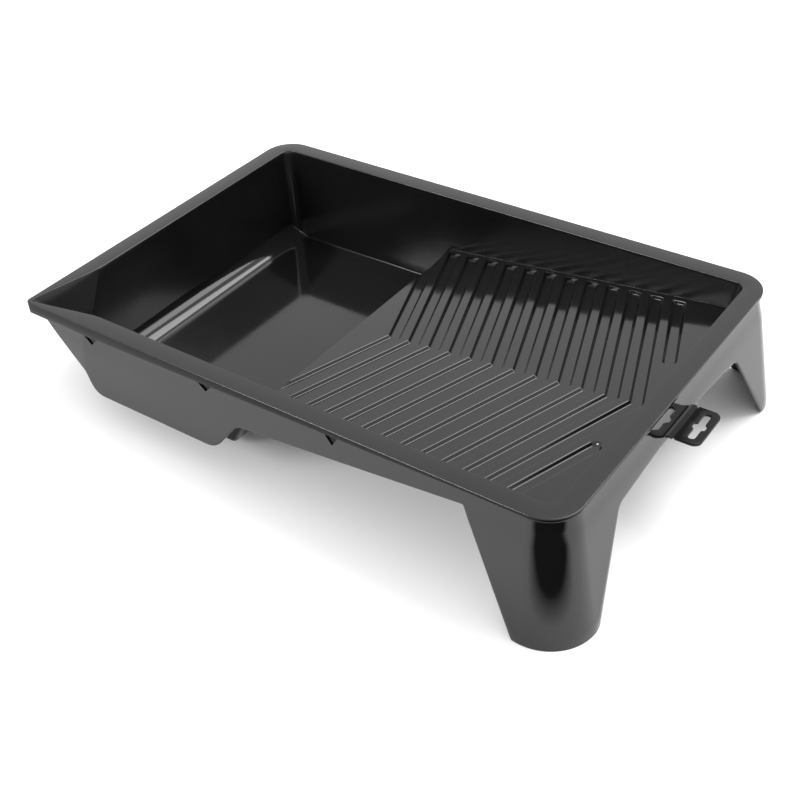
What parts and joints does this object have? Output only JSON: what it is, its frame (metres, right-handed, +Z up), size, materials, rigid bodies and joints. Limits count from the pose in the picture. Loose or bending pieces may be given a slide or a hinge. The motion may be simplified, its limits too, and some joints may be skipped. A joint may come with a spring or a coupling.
{
  "type": "paint roller tray",
  "caption": "Black plastic paint roller tray with a deep well, a ramp with chevron grooves, a pouring corner, splayed legs under the ramp end and a hinged hanging tab.",
  "frame": {"origin": "on the ground, under the centre of the tray's box, tab included", "axes": "+X from the well end to the ramp end and its hanging tab, +Y to the rear side, +Z up; the rim rises 2.7 degrees towards +X"},
  "size_m": [0.446, 0.3054, 0.0896],
  "materials": {
    "black_plastic": "glossy"
  },
  "bodies": {
    "tray": {"rim_well_end": "black_plastic", "rim_ramp_end": "black_plastic", "rim_front": "black_plastic", "rim_rear": "black_plastic", "well_cove": "black_plastic", "well_floor": "black_plastic", "well_riser": "black_plastic", "ramp_deck": "black_plastic", "well_end_wall": "black_plastic", "ramp_end_wall": "black_plastic", "well_front_wall": "black_plastic", "ramp_front_wall": "black_plastic", "well_rear_wall": "black_plastic", "ramp_rear_wall": "black_plastic", "spout_front_side": "black_plastic", "spout_end_side": "black_plastic", "front_apron": "black_plastic", "end_apron": "black_plastic", "well_end_skirt": "black_plastic", "rear_corner_skirt": "black_plastic", "ramp_end_skirt": "black_plastic", "front_well_skirt": "black_plastic", "front_ramp_skirt": "black_plastic", "rear_well_skirt": "black_plastic", "rear_ramp_skirt": "black_plastic", "front_leg": "black_plastic", "rear_leg": "black_plastic", "tab_strip": "black_plastic"},
    "tab": {"hang_tab": "black_plastic"}
  },
  "joints": [
    {"name": "tab_hinge", "type": "hinge", "parent": "tray", "child": "tab", "pos_m": [0.20739, 0, 0.06812], "axis": [0, -1, 0], "range_deg": [-85, 80]}
  ]
}
